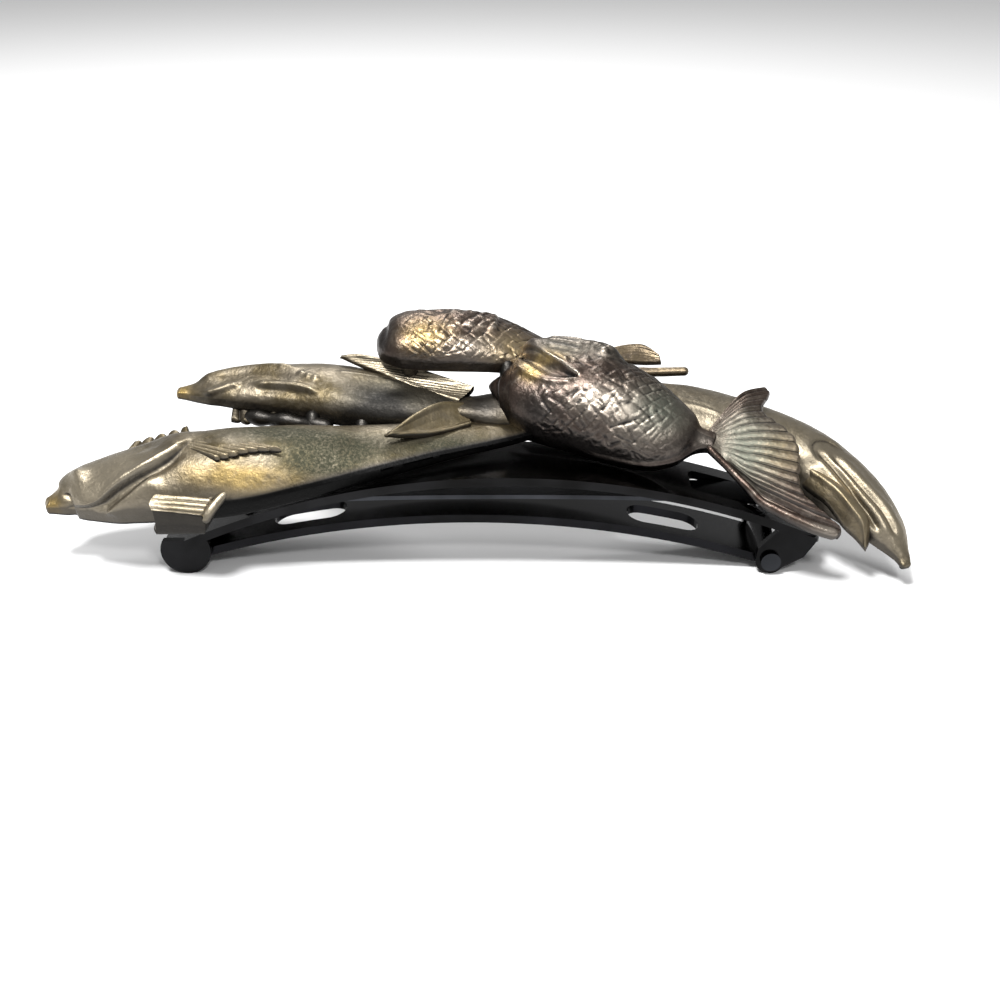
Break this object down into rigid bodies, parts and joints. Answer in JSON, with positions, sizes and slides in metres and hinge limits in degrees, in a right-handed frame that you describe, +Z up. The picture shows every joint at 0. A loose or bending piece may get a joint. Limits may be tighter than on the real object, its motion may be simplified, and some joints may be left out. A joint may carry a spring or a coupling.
{
  "type": "hair barrette",
  "caption": "Hair barrette with cast koi and goldfish soldered in a cluster over an arched spring clip whose lower arm swings on a riveted pin.",
  "frame": {"origin": "on the surface the clip lies on, under the middle of the clip", "axes": "+X along the clip from the catch to the hinge, +Y across the clip towards the back fish, +Z up, away from the head"},
  "size_m": [0.0996, 0.0279, 0.0253],
  "materials": {
    "cast_brass": "antiqued silver and gold plate, worn bright on the high spots and dark in the recesses",
    "dark_steel": "blackened, satin",
    "spring_steel": "blackened, a little brighter where it rubs"
  },
  "bodies": {
    "clip": {"fish_cluster": "cast_brass", "clip_plate": "dark_steel", "hinge_pin": "dark_steel", "tension_bow": "spring_steel"},
    "arm": {"clip_arm": "dark_steel"}
  },
  "joints": [
    {"name": "arm_hinge", "type": "hinge", "parent": "clip", "child": "arm", "pos_m": [0.0336, 0, 0.0017], "axis": [0, -1, 0], "range_deg": [0, 100]}
  ]
}
